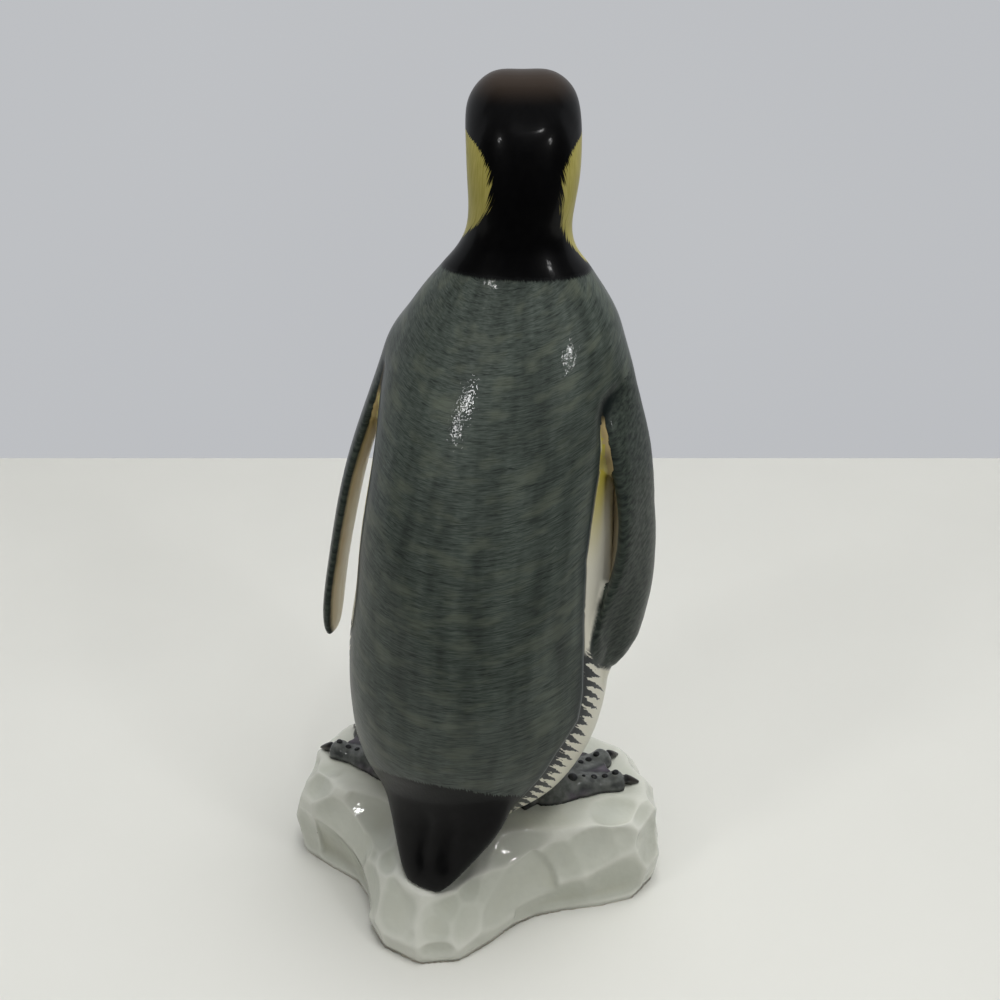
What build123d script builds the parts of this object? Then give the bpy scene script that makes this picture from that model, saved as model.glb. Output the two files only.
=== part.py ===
from build123d import *
from math import cos, pi, radians, sin
import os

# Glazed porcelain penguin that stands on a block of ice. It is slip cast in nine pieces, which are
# luted together with slip and fired. Lengths are in millimetres, angles in degrees. The penguin
# looks along -Y, and +Z is up. Tables of shares are shares of the sizes named beside them.

# Block of ice
ice_height = 30.0
ice_reach = 57.0
ice_centre_y = -5.0
ice_wall = 6.0
ice_roof = 6.0

# Body
body_height = 157.0
body_half_width = 37.2
body_front_reach = 38.0
body_back_reach = 36.5
body_axis_x = -3.0
body_axis_y = 0.8
body_lean = 21.0
body_sway = 3.4
body_wall = 3.5
vent_radius = 3.0

# Neck and head
collar_half_width = 19.8
collar_front_reach = 16.2
collar_back_reach = 16.6
neck_height = 14.0
throat_reach = 21.5
head_half_width = 15.2
head_reach = 30.5
head_turn = 22.0
head_sway = 2.2
head_wall = 3.0

# Beak
beak_length = 15.0
beak_half_width = 2.9
beak_half_depth = 3.4
beak_droop = 3.2

# Flippers
flipper_length = 91.0
flipper_chord = 20.0
flipper_thickness = 6.0
flipper_swing = 19.0
flipper_turn = 14.0

# Tail
tail_length = 40.5
tail_half_width = 20.2
tail_half_depth = 10.0
tail_slope = 62.0
tail_turn = 12.5

# Feet
toe_length = 28.0
toe_radius = 3.4
toe_spread = 28.0
instep_height = 7.5
web_height = 2.4
claw_length = 5.0
claw_radius = 1.5
hind_toe_length = 5.5
hind_toe_radius = 2.4
right_splay = 29.0
left_splay = 52.0

# Number of points on a closed outline
oval_points = 12


def closed_outline(points):
    """One smooth closed edge, with its points spaced evenly along it in every section."""
    steps = [step / len(points) for step in range(len(points) + 1)]
    return Wire(Edge.make_spline(points, periodic=True, parameters=steps))


def oval(half_width, front, back, fullness_share=0.0):
    """Rounded outline about the origin. Fullness pushes its four shoulders outwards."""
    points = []
    for step in range(oval_points):
        turn = 2 * pi * step / oval_points
        swell = 1 + fullness_share * sin(2 * turn) ** 2
        reach = back if sin(turn) > 0 else front
        points.append(Vector(half_width * swell * cos(turn), reach * swell * sin(turn)))
    return closed_outline(points)


def round_oval(radius):
    return oval(radius, radius, radius)


def facing(origin, tilt):
    """Plane whose normal is turned by the tilt from straight up towards the front."""
    slope = radians(tilt)
    return Plane(origin=origin, x_dir=(1, 0, 0), z_dir=(0, -sin(slope), cos(slope)))


# Corners of the ice round its centre, from +X anticlockwise: turn, reach on the ground, reach and
# height of the waist, reach and height of the rim, reach at the top. Flat facets join them. The
# back lobe, which carries the tail, is lower than the rest.
ground_reach, waist_reach, waist_rise, rim_reach, rim_rise, top_reach = range(1, 7)
ice_corner_shares = (
    (0.000, 1.00, 1.03, 0.50, 0.99, 0.88, 0.92),
    (0.042, 0.97, 1.02, 0.36, 0.97, 0.80, 0.88),
    (0.065, 0.82, 0.88, 0.50, 0.87, 0.86, 0.78),
    (0.100, 0.67, 0.72, 0.34, 0.69, 0.76, 0.56),
    (0.140, 0.66, 0.71, 0.42, 0.64, 0.78, 0.46),
    (0.175, 0.75, 0.78, 0.30, 0.69, 0.72, 0.40),
    (0.210, 0.82, 0.84, 0.26, 0.74, 0.70, 0.38),
    (0.250, 0.84, 0.86, 0.30, 0.76, 0.70, 0.37),
    (0.288, 0.775, 0.80, 0.26, 0.70, 0.72, 0.38),
    (0.322, 0.65, 0.69, 0.36, 0.61, 0.76, 0.41),
    (0.362, 0.555, 0.60, 0.30, 0.57, 0.82, 0.46),
    (0.402, 0.545, 0.60, 0.42, 0.585, 0.88, 0.53),
    (0.440, 0.61, 0.66, 0.34, 0.65, 0.86, 0.60),
    (0.472, 0.74, 0.79, 0.44, 0.78, 0.89, 0.72),
    (0.498, 0.88, 0.93, 0.32, 0.915, 0.84, 0.84),
    (0.530, 0.955, 1.00, 0.50, 0.975, 0.87, 0.92),
    (0.570, 0.985, 1.01, 0.38, 0.98, 0.82, 0.92),
    (0.615, 0.92, 0.95, 0.52, 0.92, 0.88, 0.85),
    (0.665, 0.79, 0.83, 0.38, 0.80, 0.82, 0.74),
    (0.715, 0.70, 0.74, 0.50, 0.71, 0.88, 0.66),
    (0.765, 0.69, 0.72, 0.36, 0.70, 0.82, 0.64),
    (0.815, 0.75, 0.79, 0.50, 0.755, 0.87, 0.70),
    (0.865, 0.85, 0.89, 0.38, 0.86, 0.82, 0.80),
    (0.915, 0.94, 0.98, 0.50, 0.94, 0.88, 0.88),
    (0.960, 1.00, 1.02, 0.36, 0.98, 0.82, 0.92),
)


def ice_outline(inset, height, reach_column, level_column=None, level_share=0.0):
    """Polygon through the corners. Its height comes from a column of the table or is level."""
    points = []
    for corner in ice_corner_shares:
        turn = 2 * pi * corner[0]
        reach = ice_reach * corner[reach_column] - inset
        rise = level_share if level_column is None else corner[level_column]
        points.append(Vector(reach * cos(turn), ice_centre_y + reach * sin(turn), height * rise))
    return Wire.make_polygon(points, close=True)


def ice_form(inset, height):
    outlines = [
        ice_outline(inset, height, ground_reach),
        ice_outline(inset, height, waist_reach, waist_rise),
        ice_outline(inset, height, rim_reach, rim_rise),
        ice_outline(inset, height, top_reach, level_share=1.0),
    ]
    return Solid.make_loft(outlines, ruled=True)


def vent():
    """Passage between the two hollows, which lets the air out while the piece is fired."""
    return Pos(body_axis_x, body_axis_y, ice_height) * Cylinder(vent_radius, 4 * ice_roof)


def make_ice():
    return ice_form(0, ice_height) - ice_form(ice_wall, ice_height - ice_roof) - vent()


# Body from its seat to the collar: height, half width, front, back, lean forward and sway aside
body_station_shares = (
    (0.00, 0.43, 0.42, 0.36, -0.02, -0.90),
    (0.04, 0.61, 0.58, 0.52, -0.02, -1.10),
    (0.10, 0.83, 0.78, 0.76, 0.00, -0.95),
    (0.19, 0.96, 0.92, 0.95, 0.00, -0.35),
    (0.29, 1.00, 0.985, 1.00, 0.00, 0.00),
    (0.45, 0.955, 1.00, 1.00, 0.11, 0.17),
    (0.60, 0.92, 0.965, 0.95, 0.29, 0.33),
    (0.74, 0.895, 0.88, 0.85, 0.56, 0.50),
    (0.86, 0.875, 0.72, 0.71, 0.84, 0.65),
    (0.93, 0.755, 0.58, 0.585, 0.95, 0.80),
)


def body_sections(inset, stations):
    sections = []
    for rise, wide, front, back, lean, sway in stations:
        outline = oval(
            body_half_width * wide - inset,
            body_front_reach * front - inset,
            body_back_reach * back - inset,
        )
        x = body_axis_x - body_sway * sway
        y = body_axis_y - body_lean * lean
        sections.append(Pos(x, y, ice_height + body_height * rise) * outline)
    return sections


def collar_section(inset):
    outline = oval(collar_half_width - inset, collar_front_reach - inset, collar_back_reach - inset)
    return neck_place() * Pos(0, 0, ice_height + body_height) * outline


def neck_place():
    return Pos(body_axis_x - body_sway, body_axis_y - body_lean, 0)


def body_form():
    return Solid.make_loft(body_sections(0, body_station_shares) + [collar_section(0)])


def make_torso(form):
    cavity = Solid.make_loft(body_sections(body_wall, body_station_shares[1:]) + [collar_section(body_wall)])
    return form - cavity - vent()


# Head: its sections fan out from the angle of the jaw. Upward turn as a share of a right angle,
# shift along the section's normal, nearest and farthest reach, half width, fullness, turn aside
head_station_shares = (
    (0.00, -0.36, 0.22, 1.22, 1.12, 0.00, 0.05),
    (0.00, -0.20, 0.27, 1.17, 0.94, 0.00, 0.25),
    (0.00, 0.00, 0.29, 1.16, 0.90, 0.00, 0.55),
    (0.24, 0.00, 0.30, 1.18, 0.95, 0.03, 0.80),
    (0.48, 0.00, 0.31, 1.195, 0.97, 0.10, 0.95),
    (0.70, 0.00, 0.33, 1.195, 0.95, 0.14, 1.00),
    (0.88, 0.00, 0.36, 1.12, 0.86, 0.15, 1.00),
    (1.00, 0.00, 0.41, 1.01, 0.70, 0.12, 1.00),
    (1.00, 0.09, 0.48, 0.90, 0.48, 0.03, 1.00),
    (1.00, 0.18, 0.54, 0.82, 0.30, 0.00, 1.00),
)
head_hollow_stations = 6
face_shift_share = 0.25
face_rise_share = 0.67


def head_place(turn_share, shift, middle, aside_share):
    """Location of a section: fanned about the jaw, then turned about the upright axis of the neck."""
    turn = radians(90 * turn_share)
    forward = throat_reach + shift * sin(turn) - middle * cos(turn)
    height = ice_height + body_height + neck_height + shift * cos(turn) + middle * sin(turn)
    plane = facing((0, -forward, height), 90 * turn_share)
    sway = Pos(-head_sway * aside_share, 0, 0)
    return neck_place() * sway * Rot(0, 0, head_turn * aside_share) * plane.location


def head_sections(inset, stations):
    sections = [collar_section(inset)]
    for turn_share, shift, near, far, wide, fullness, aside in stations:
        low = head_reach * near + inset
        high = head_reach * far - inset
        half = (high - low) / 2
        outline = oval(head_half_width * wide - inset, half, half, fullness)
        sections.append(head_place(turn_share, head_reach * shift, (high + low) / 2, aside) * outline)
    return sections


def beak_section(forward, drop, size_share):
    """Section of the beak, square to the face. The first one is also where the face ends."""
    half_width = beak_half_width * size_share
    half_depth = beak_half_depth * size_share
    place = head_place(1, head_reach * face_shift_share + forward, head_reach * face_rise_share - drop, 1)
    return place * oval(half_width, half_depth, half_depth)


def make_head():
    form = Solid.make_loft(head_sections(0, head_station_shares) + [beak_section(0, 0, 1)])
    return form - Solid.make_loft(head_sections(head_wall, head_station_shares[:head_hollow_stations]))


# Beak: distance from the face, droop, size
beak_station_shares = (
    (0.00, 0.00, 1.00),
    (0.30, 0.05, 0.80),
    (0.60, 0.28, 0.58),
    (0.85, 0.66, 0.36),
    (1.00, 1.00, 0.12),
)


def make_beak():
    stations = [(beak_length * far, beak_droop * drop, size) for far, drop, size in beak_station_shares]
    return Solid.make_loft([beak_section(*station) for station in stations])


# Flippers: distance down the blade, chord, thickness
shoulder_height_share = 0.90
flipper_station_shares = (
    (0.00, 0.75, 0.90),
    (0.13, 1.02, 1.00),
    (0.29, 1.04, 1.00),
    (0.50, 1.00, 0.95),
    (0.70, 1.00, 0.88),
    (0.86, 1.00, 0.84),
    (0.955, 0.86, 0.74),
    (1.00, 0.56, 0.46),
)

# Middle line of each flipper at those distances: outward, in half widths of the body, and the
# share of the backward swing
right_line_shares = (
    (0.70, 0.10), (0.88, 0.24), (1.015, 0.35), (1.11, 0.53), (1.10, 0.70), (1.02, 0.87), (0.955, 0.98), (0.93, 1.04),
)
left_line_shares = (
    (0.66, 0.00), (0.84, 0.10), (0.97, 0.28), (1.10, 0.55), (1.17, 0.78), (1.21, 0.95), (1.215, 1.05), (1.21, 1.09),
)


def make_flipper(side, line_shares, body):
    """Blade with its trailing edge turned in towards the body, its root scribed to the shoulder."""
    shoulder_z = ice_height + body_height * shoulder_height_share
    shoulder_y = body_axis_y - body_lean * shoulder_height_share
    sections = []
    for (down, chord, thick), (out, back) in zip(flipper_station_shares, line_shares):
        half_chord = flipper_chord * chord / 2
        x = body_axis_x + side * body_half_width * out
        y = shoulder_y + flipper_swing * back
        place = Pos(x, y, shoulder_z - flipper_length * down) * Rot(0, 0, side * flipper_turn)
        sections.append(place * oval(flipper_thickness * thick / 2, half_chord, half_chord))
    return Solid.make_loft(sections) - body


# Tail: root on the body, then distance along it, half width and half depth
tail_root_height_share = 0.175
tail_root_reach_share = 0.44
tail_station_shares = (
    (0.00, 0.72, 1.00),
    (0.28, 0.96, 0.82),
    (0.52, 0.86, 0.58),
    (0.76, 0.60, 0.38),
    (0.92, 0.40, 0.26),
    (1.00, 0.24, 0.14),
)


def make_tail(body, ice):
    """Wedge that carries on the line of the back down to the back lobe of the ice."""
    root_y = body_axis_y + body_back_reach * tail_root_reach_share
    root = Pos(body_axis_x, root_y, ice_height + body_height * tail_root_height_share)
    sections = []
    for along, wide, deep in tail_station_shares:
        half_depth = tail_half_depth * deep
        outline = Pos(0, 0, -tail_length * along) * oval(tail_half_width * wide, half_depth, half_depth)
        sections.append(root * Rot(0, 0, -tail_turn) * Rot(90 - tail_slope, 0, 0) * outline)
    return Solid.make_loft(sections) - body - ice


# Toes: distance along the toe and size. The second and fourth swellings are its joints.
toe_station_shares = ((0.00, 1.30), (0.34, 0.95), (0.52, 1.12), (0.70, 0.88), (0.86, 1.02), (1.00, 0.60))
toe_shares = ((-1, 0.93), (0, 1.00), (1, 0.93))
toe_rise_share = 0.4
claw_station_shares = ((-0.40, 0.80, 0.70), (0.30, 0.90, 0.60), (0.75, 0.55, 0.25), (1.00, 0.20, 0.10))

# Web: distance from the ankle, half width, height
web_station_shares = ((-0.12, 0.12, 0.80), (0.12, 0.26, 1.00), (0.40, 0.33, 0.66), (0.70, 0.41, 0.30), (0.92, 0.46, 0.12))
right_ankle_shares = (0.47, 0.14)
left_ankle_shares = (0.69, 0.00)
scallop_share = 0.17


def tube_along(stations, radius, length, rise_share):
    sections = []
    for along, size in stations:
        centre = (0, -length * along, radius * size * rise_share)
        sections.append(facing(centre, 90).location * round_oval(radius * size))
    return Solid.make_loft(sections)


def make_claw():
    sections = []
    for along, size, rise in claw_station_shares:
        place = facing((0, -claw_length * along, 2 * claw_radius * rise), 90).location
        sections.append(place * round_oval(claw_radius * size))
    return Solid.make_loft(sections)


def make_web():
    """Fan of skin between the toes, high at the instep, with a hollow edge between each two toes."""
    sections = []
    for along, wide, high in web_station_shares:
        height = web_height + (instep_height - web_height) * high
        sections.append(facing((0, -toe_length * along, 0), 90).location * oval(toe_length * wide, height, height))
    web = Solid.make_loft(sections)
    for side in (-1, 1):
        edge = Rot(0, 0, side * toe_spread / 2) * Pos(0, -toe_length, 0)
        web -= edge * Cylinder(toe_length * scallop_share, 4 * instep_height)
    return web


def make_foot(side, ankle_shares, splay, body):
    """Webbed foot, flat underneath, its ankle placed in half widths and front reaches of the body."""
    foot = make_web()
    for side_share, length_share in toe_shares:
        length = toe_length * length_share
        turn = Rot(0, 0, toe_spread * side_share)
        foot += turn * tube_along(toe_station_shares, toe_radius, length, toe_rise_share)
        foot += turn * Pos(0, -length, 0) * make_claw()
    hind_toe = Cylinder(hind_toe_radius, hind_toe_length, rotation=(90, 0, 0))
    foot += Pos(0, hind_toe_length, hind_toe_radius / 2) * hind_toe
    ground = Box(8 * toe_length, 8 * toe_length, 8 * toe_length, align=(Align.CENTER, Align.CENTER, Align.MAX))
    out, forward = ankle_shares
    x = body_axis_x + side * body_half_width * out
    ankle = Pos(x, body_axis_y - body_front_reach * forward, ice_height)
    return ankle * Rot(0, 0, side * splay) * (foot - ground) - body


def make_pieces():
    body = body_form()
    ice = make_ice()
    return {
        "ice_base": ice,
        "torso": make_torso(body),
        "head": make_head(),
        "beak": make_beak(),
        "right_flipper": make_flipper(-1, right_line_shares, body),
        "left_flipper": make_flipper(1, left_line_shares, body),
        "tail": make_tail(body, ice),
        "right_foot": make_foot(-1, right_ankle_shares, right_splay, body),
        "left_foot": make_foot(1, left_ankle_shares, left_splay, body),
    }


os.makedirs("parts", exist_ok=True)
pieces = make_pieces()
box = Compound(list(pieces.values())).bounding_box()
middle = box.center()
for name, piece in pieces.items():
    export_step(Pos(-middle.X, -middle.Y, -box.min.Z) * piece, f"parts/{name}.step")
    print(name, round(piece.volume), len(piece.solids()), len(piece.faces()))
print("moved by", round(-middle.X, 3), round(-middle.Y, 3), "overall", box.size)
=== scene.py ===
import math

import bmesh
import bpy
import numpy as np
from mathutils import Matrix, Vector
from mathutils.bvhtree import BVHTree


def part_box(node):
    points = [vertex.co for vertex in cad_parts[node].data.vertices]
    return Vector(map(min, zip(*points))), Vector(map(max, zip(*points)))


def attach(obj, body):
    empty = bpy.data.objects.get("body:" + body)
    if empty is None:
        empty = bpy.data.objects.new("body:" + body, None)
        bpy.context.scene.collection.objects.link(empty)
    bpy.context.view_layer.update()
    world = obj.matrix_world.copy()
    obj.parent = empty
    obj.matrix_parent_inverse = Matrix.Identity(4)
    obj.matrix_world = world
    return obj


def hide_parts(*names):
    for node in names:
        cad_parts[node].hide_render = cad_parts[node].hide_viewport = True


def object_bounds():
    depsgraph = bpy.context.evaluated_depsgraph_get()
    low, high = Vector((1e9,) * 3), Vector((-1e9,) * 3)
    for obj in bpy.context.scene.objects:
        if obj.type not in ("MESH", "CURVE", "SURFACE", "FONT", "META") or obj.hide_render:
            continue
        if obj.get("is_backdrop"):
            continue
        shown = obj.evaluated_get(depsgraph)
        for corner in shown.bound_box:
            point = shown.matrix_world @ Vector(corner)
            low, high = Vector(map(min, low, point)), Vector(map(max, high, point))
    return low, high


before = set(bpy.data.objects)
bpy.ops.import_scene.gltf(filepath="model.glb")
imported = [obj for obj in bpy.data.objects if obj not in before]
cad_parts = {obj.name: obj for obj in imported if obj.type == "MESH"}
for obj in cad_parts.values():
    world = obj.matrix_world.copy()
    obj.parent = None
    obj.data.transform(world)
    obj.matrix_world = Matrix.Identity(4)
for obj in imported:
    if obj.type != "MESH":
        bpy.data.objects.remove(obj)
cad_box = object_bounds()


# ICE
# The block of ice is one thick slip casting in greenish white porcelain, open underneath. Broad scoops
# are cut into its flanks with a loop tool while the clay is firm, and the clear glaze pools in them.
# It stands on a rim that is wiped free of glaze.
mm = 0.001
ice_grain = 0.75 * mm
ice_foot_round = 1.1 * mm
ice_foot_height = 3.0 * mm
ice_middle = (-1.4, 3.6)

# Middles of the scoops: turn from the left side towards the back, reach, height, width and depth in mm
ice_scoops = (
    (0.452, 46, 25, 24, 2.5), (0.474, 52, 7, 34, 2.3), (0.500, 44, 34, 17, 2.0), (0.512, 56, 20, 24, 1.8),
    (0.552, 60, 17, 32, 2.4), (0.412, 38, 20, 22, 2.1), (0.376, 33, 28, 20, 1.9), (0.345, 40, 12, 28, 2.0),
    (0.415, 44, 5, 22, 1.6), (0.302, 50, 14, 28, 1.7), (0.252, 54, 9, 26, 1.4), (0.212, 50, 16, 24, 1.6),
    (0.268, 40, 27, 24, 1.1), (0.172, 45, 10, 26, 2.0), (0.134, 36, 26, 20, 2.0), (0.113, 43, 9, 26, 2.3),
    (0.086, 45, 24, 23, 2.5), (0.058, 51, 29, 19, 2.2), (0.050, 57, 11, 27, 2.2), (0.014, 61, 24, 26, 2.1),
    (0.984, 62, 8, 32, 2.2), (0.948, 60, 25, 26, 2.1), (0.915, 58, 9, 30, 2.2), (0.875, 52, 25, 25, 2.1),
    (0.840, 52, 8, 30, 2.2), (0.800, 46, 25, 25, 2.1), (0.765, 44, 9, 30, 2.1), (0.725, 42, 24, 26, 2.1),
    (0.690, 45, 8, 30, 2.2), (0.652, 49, 25, 25, 2.1), (0.620, 55, 9, 30, 2.2), (0.590, 59, 27, 23, 2.1),
)

# Smaller cuts at chance places between them, sizes in mm
nick_count = 70
nick_widths = (9, 20)
nick_depths = (0.8, 1.9)
nick_heights = (4, 42)
nick_reaches = (50, 64)
chance = np.random.default_rng(11)
ice_nicks = tuple(zip(*[
    chance.uniform(low, high, nick_count)
    for low, high in ((0, 1), nick_reaches, nick_heights, nick_widths, nick_depths)
]))


def new_object(name, data):
    thing = bpy.data.objects.new(name, data)
    bpy.context.scene.collection.objects.link(thing)
    return thing


def shaped(holder):
    """Mesh of an object after its modifiers. The object and its own mesh go."""
    bpy.context.view_layer.update()
    after = holder.evaluated_get(bpy.context.evaluated_depsgraph_get())
    mesh = bpy.data.meshes.new_from_object(after)
    bpy.data.meshes.remove(holder.data)
    return mesh


def fine_skin(nodes, grain):
    """Even quads over the outside of CAD nodes: their points, and the four corners of each quad."""
    joined = bmesh.new()
    for name in nodes:
        joined.from_mesh(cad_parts[name].data)
    bmesh.ops.remove_doubles(joined, verts=joined.verts, dist=0.002 * mm)
    mesh = bpy.data.meshes.new("joined")
    joined.to_mesh(mesh)
    joined.free()
    holder = new_object("joined", mesh)
    remesh = holder.modifiers.new("remesh", "REMESH")
    remesh.mode = "VOXEL"
    remesh.voxel_size = grain
    fine = shaped(holder)
    points = np.zeros(len(fine.vertices) * 3)
    fine.vertices.foreach_get("co", points)
    quads = np.zeros(len(fine.polygons) * 4, int)
    fine.polygons.foreach_get("vertices", quads)
    bpy.data.meshes.remove(fine)
    return points.reshape(-1, 3), quads.reshape(-1, 4)


def quad_sides(quads):
    return np.concatenate([quads[:, [0, 1]], quads[:, [1, 2]], quads[:, [2, 3]], quads[:, [3, 0]]])


def quad_links(quads):
    return np.unique(np.sort(quad_sides(quads), axis=1), axis=0)


def neighbour_mean(values, links):
    """Mean of each point's neighbours, for values of one or three columns."""
    table = values.reshape(len(values), -1)
    count = np.bincount(links.ravel(), minlength=len(table))
    columns = []
    for column in table.T:
        total = np.bincount(links[:, 0], weights=column[links[:, 1]], minlength=len(table))
        total += np.bincount(links[:, 1], weights=column[links[:, 0]], minlength=len(table))
        columns.append(total / np.maximum(count, 1))
    return np.stack(columns, axis=1).reshape(values.shape)


def soften(points, links, weight, rounds, shrink=False):
    """Smooths by each point's weight. Unless it may shrink, every second step swells it back."""
    weight = np.broadcast_to(np.asarray(weight, float).reshape(-1, 1), (len(points), 1))
    for step in range(rounds):
        points = points + 0.5 * weight * (neighbour_mean(points, links) - points)
        if not shrink:
            points = points - 0.52 * weight * (neighbour_mean(points, links) - points)
    return points


def point_normals(points, quads):
    across = points[quads[:, 2]] - points[quads[:, 0]]
    along = points[quads[:, 3]] - points[quads[:, 1]]
    faces = np.cross(across, along)
    normals = np.zeros_like(points)
    for corner in quads.T:
        for axis in range(3):
            normals[:, axis] += np.bincount(corner, weights=faces[:, axis], minlength=len(points))
    return normals / np.maximum(np.linalg.norm(normals, axis=1, keepdims=True), 1e-12)


def pushed(points, quads, reach):
    """Moves each point out along its normal by so many mm."""
    return points + point_normals(points, quads) * (reach * mm)[:, None]


def solid(node):
    """Surface of a CAD node, to measure from."""
    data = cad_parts[node].data
    corners = [vertex.co for vertex in data.vertices]
    return BVHTree.FromPolygons(corners, [face.vertices for face in data.polygons])


def node_gap(points, *nodes):
    """Distance in mm from each point to the nearest of the CAD nodes."""
    nearest = np.full(len(points), 1000.0)
    for name in nodes:
        tree = solid(name)
        nearest = np.minimum(nearest, [tree.find_nearest(Vector(point))[3] / mm for point in points])
    return nearest


def ease(values, low, high):
    """Smooth rise from 0 at low to 1 at high."""
    share = np.clip((values - low) / (high - low), 0, 1)
    return share * share * (3 - 2 * share)


def hollowness(points, quads, rounds):
    """How deep each point lies below its surroundings, in mm: above 0 in a hollow, below 0 on a ridge."""
    links = quad_links(quads)
    wide = points
    for step in range(rounds):
        wide = neighbour_mean(wide, links)
    return ((wide - points) * point_normals(points, quads)).sum(axis=1) / mm


def field_mesh(name, points, faces, fields, edges=()):
    """Plain mesh with its painted fields."""
    mesh = bpy.data.meshes.new(name)
    mesh.from_pydata(points, edges, faces)
    for field, values in fields.items():
        vector = values.ndim == 2
        store = mesh.attributes.new(field, "FLOAT_VECTOR" if vector else "FLOAT", "POINT")
        store.data.foreach_set("vector" if vector else "value", values.astype(np.float32).ravel())
    return mesh


def finished_piece(name, points, faces, fields, node, material, normals=None):
    """Piece which stands for a CAD node and takes the slot's finish."""
    mesh = field_mesh(name, points, faces, fields)
    mesh.shade_smooth()
    if normals is not None:
        mesh.normals_split_custom_set_from_vertices(normals.tolist())
    mesh.materials.append(material)
    piece = new_object(name, mesh)
    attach(piece, "root")
    if node:
        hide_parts(node)
    return piece


def linear(colour):
    """Linear RGBA of an sRGB hex colour."""
    channels = [int(colour[place:place + 2], 16) / 255 for place in (0, 2, 4)]
    return [c / 12.92 if c <= 0.04045 else ((c + 0.055) / 1.055) ** 2.4 for c in channels] + [1.0]


def add(tree, kind, inputs=None, out=0, **settings):
    """Adds a node with its settings, values, hex colours and links, and gives the output asked for."""
    node = tree.nodes.new(kind)
    for name, value in settings.items():
        setattr(node, name, value)
    for name, value in (inputs or {}).items():
        socket = node.inputs[name]
        if isinstance(value, bpy.types.NodeSocket):
            tree.links.new(value, socket)
        else:
            socket.default_value = linear(value) if socket.type == "RGBA" else value
    return node.outputs[out] if len(node.outputs) else node


def new_paint(name):
    """Empty material: itself, its node tree, and the place on the object that its patterns follow."""
    material = bpy.data.materials.new(name)
    material.use_nodes = True
    tree = material.node_tree
    tree.nodes.clear()
    return material, tree, add(tree, "ShaderNodeTexCoord", out="Object")


def wash(tree, colour, *layers):
    """Lays colours over one another: each by a field, its values at none and full, and the most."""
    for over, field, *span in layers:
        if isinstance(field, str):
            field = add(tree, "ShaderNodeAttribute", out="Fac", attribute_name=field)
        share = add(tree, "ShaderNodeMapRange", {0: field, **dict(zip((1, 2, 4), span))})
        colour = add(tree, "ShaderNodeMix", {0: share, 6: colour, 7: over}, 2, data_type="RGBA")
    return colour


# Clear glaze over greenish white porcelain: wet gloss that sparkles where it ripples, grey green in
# the light, straw coloured and darker where it pools in hollows, which is also painted shade, whiter
# where it runs thin over a ridge, which is also a painted highlight, and a few iron specks. The rim
# underneath is bare matt biscuit.
speck_scale = 75.0
ice_wave = 0.42 * mm
ice_ripple = 0.13 * mm
ice_glaze, tree, place = new_paint("clear_gloss_glaze_on_white_porcelain")
cloud = add(tree, "ShaderNodeTexNoise", {"Vector": place, "Scale": 42.0, "Detail": 3.0})
pool_and_shade_cloud = add(tree, "ShaderNodeTexNoise", {"Vector": place, "Scale": 26.0, "Detail": 1.0})
pool_and_shade_colour = wash(tree, "A6ADA5", ("ACA886", pool_and_shade_cloud, 0.42, 0.6))
speck_gap = add(tree, "ShaderNodeTexVoronoi", {"Vector": place, "Scale": speck_scale})
speck_pick = add(tree, "ShaderNodeTexVoronoi", {"Vector": place, "Scale": speck_scale}, "Color")
speck_size = add(tree, "ShaderNodeMapRange", {0: speck_pick, 1: 0.35, 2: 0.75, 4: 0.034})
speck = add(tree, "ShaderNodeMath", {0: speck_gap, 1: speck_size}, operation="LESS_THAN")
level = add(tree, "ShaderNodeSeparateXYZ", {0: place}, "Z")
bare = add(tree, "ShaderNodeMapRange", {0: level, 1: 0.25 * mm, 2: 0.1 * mm})
# By the hollow field the glaze turns darker and straw coloured in hollows, pooled glaze with painted shade,
# and whiter on ridges, thin glaze with a painted highlight
colour = wash(
    tree, "C9CBC0", ("BBBEB2", cloud, 0.35, 0.65), (pool_and_shade_colour, "hollow", 0.05, 0.9, 0.3),
    ("E4E4DC", "hollow", -0.12, -0.6, 0.4), ("5A5648", speck), ("D8D0C0", bare),
)
wave = add(tree, "ShaderNodeTexNoise", {"Vector": place, "Scale": 150.0, "Detail": 1.0})
ripple = add(tree, "ShaderNodeTexNoise", {"Vector": place, "Scale": 420.0, "Detail": 1.0})
wavy = add(tree, "ShaderNodeBump", {"Height": wave, "Distance": ice_wave})
rippled = add(tree, "ShaderNodeBump", {
    "Height": ripple, "Distance": ice_ripple, "Normal": wavy,
})
gloss = add(tree, "ShaderNodeBsdfPrincipled", {
    "Base Color": colour, "Normal": rippled, "IOR": 1.5,
    "Roughness": add(tree, "ShaderNodeMapRange", {0: bare, 3: 0.06, 4: 0.6}),
})
add(tree, "ShaderNodeOutputMaterial", {"Surface": gloss})

ice_points, ice_quads = fine_skin(["ice_base"], ice_grain)
ice_links = quad_links(ice_quads)
ice_points = soften(ice_points, ice_links, 1.0, 5)
ice_low, ice_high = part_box("ice_base")
ice_side = point_normals(ice_points, ice_quads)
from_middle = ice_points[:, :2] - np.array(ice_middle) * mm
from_middle /= np.linalg.norm(from_middle, axis=1, keepdims=True)

# The tool reaches the flanks and the top, but not the foot rim or what stands on the ice
ice_outward = (from_middle * ice_side[:, :2]).sum(axis=1)
ice_outer = np.maximum(ease(ice_outward, 0.0, 0.25), ease(ice_side[:, 2], 0.2, 0.5))
ice_outer *= ease(ice_points[:, 2], 1 * mm, 4 * mm)
rider_gap = node_gap(ice_points, "left_foot", "right_foot", "torso", "tail")
ice_outer *= ease(rider_gap, 0.5, 5)

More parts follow.
